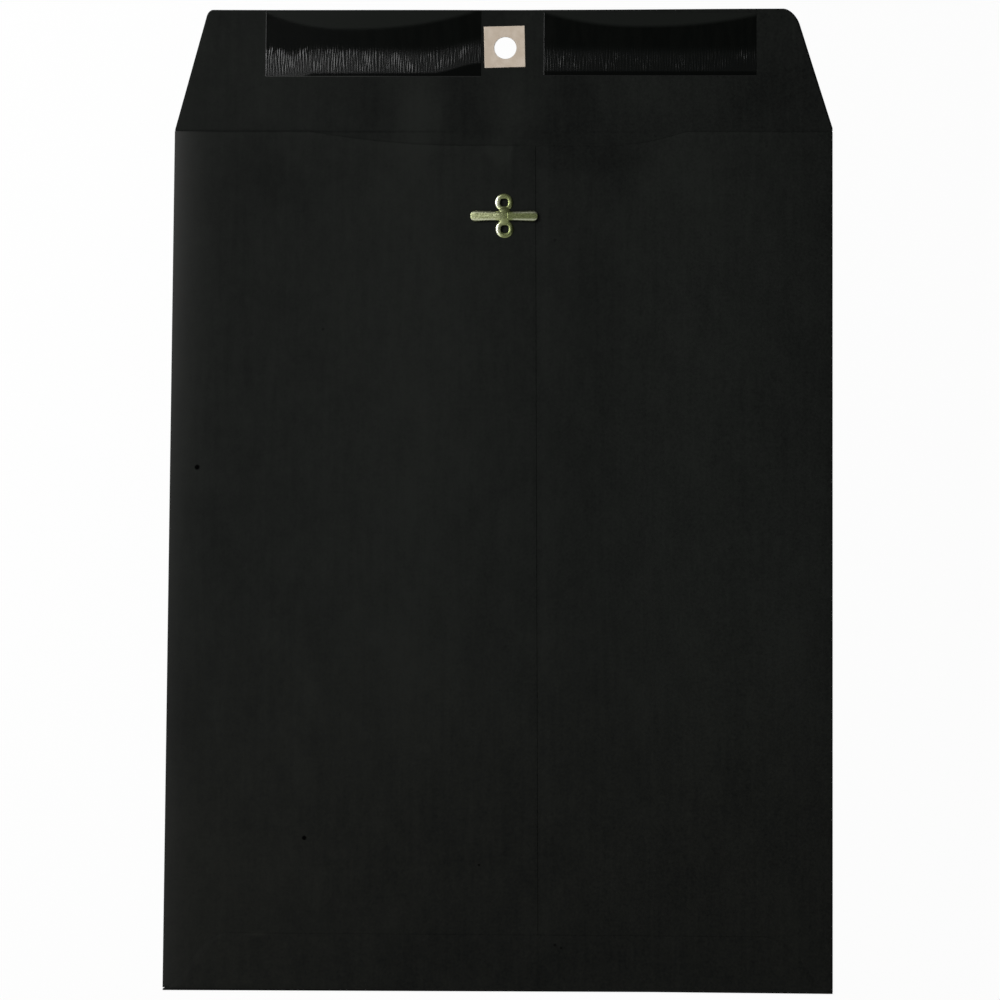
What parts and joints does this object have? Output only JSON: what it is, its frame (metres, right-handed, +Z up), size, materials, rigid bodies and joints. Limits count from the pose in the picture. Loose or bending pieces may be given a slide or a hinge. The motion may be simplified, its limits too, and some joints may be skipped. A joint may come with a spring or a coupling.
{
  "type": "clasp envelope",
  "caption": "Large black paper envelope with a flat pocket, an open gummed seal flap with a reinforced hole, and a soft metal clasp with two folding prongs.",
  "frame": {"origin": "middle of the underside of the whole envelope as it lies on its front with its flap open", "axes": "+Z up through the clasp side, +X across the envelope, +Y from the pocket's bottom towards the free edge of the flap"},
  "size_m": [0.254, 0.378, 0.0026],
  "materials": {
    "black_paper": "matte, finely fibrous",
    "dried_gum": "glossy, finely rippled",
    "buff_paper": "matte kraft",
    "soft_brass": "satin, slightly greenish",
    "paper_glue": "dried paste, hidden between the layers"
  },
  "bodies": {
    "pocket": {"front_panel": "black_paper", "left_fold_edge": "black_paper", "right_fold_edge": "black_paper", "left_side_panel": "black_paper", "right_side_panel": "black_paper", "seam_glue_line": "paper_glue", "bottom_fold_edge": "black_paper", "bottom_flap": "black_paper", "bottom_flap_glue_line": "paper_glue", "clasp_base": "soft_brass"},
    "flap": {"seal_flap": "black_paper", "hole_patch": "buff_paper", "gum_strip_left": "dried_gum", "gum_strip_right": "dried_gum"},
    "prong_left": {"clasp_prong_left": "soft_brass"},
    "prong_right": {"clasp_prong_right": "soft_brass"}
  },
  "joints": [
    {"name": "flap_fold", "type": "hinge", "parent": "pocket", "child": "flap", "pos_m": [0, 0.14125, 0.00108], "axis": [1, 0, 0], "range_deg": [0, 180]},
    {"name": "prong_left_bend", "type": "hinge", "parent": "pocket", "child": "prong_left", "pos_m": [-0.00185, 0.10795, 0.00255], "axis": [0, 1, 0], "range_deg": [0, 90]},
    {"name": "prong_right_bend", "type": "hinge", "parent": "pocket", "child": "prong_right", "pos_m": [0.00405, 0.10795, 0.00255], "axis": [0, -1, 0], "range_deg": [0, 90]}
  ]
}
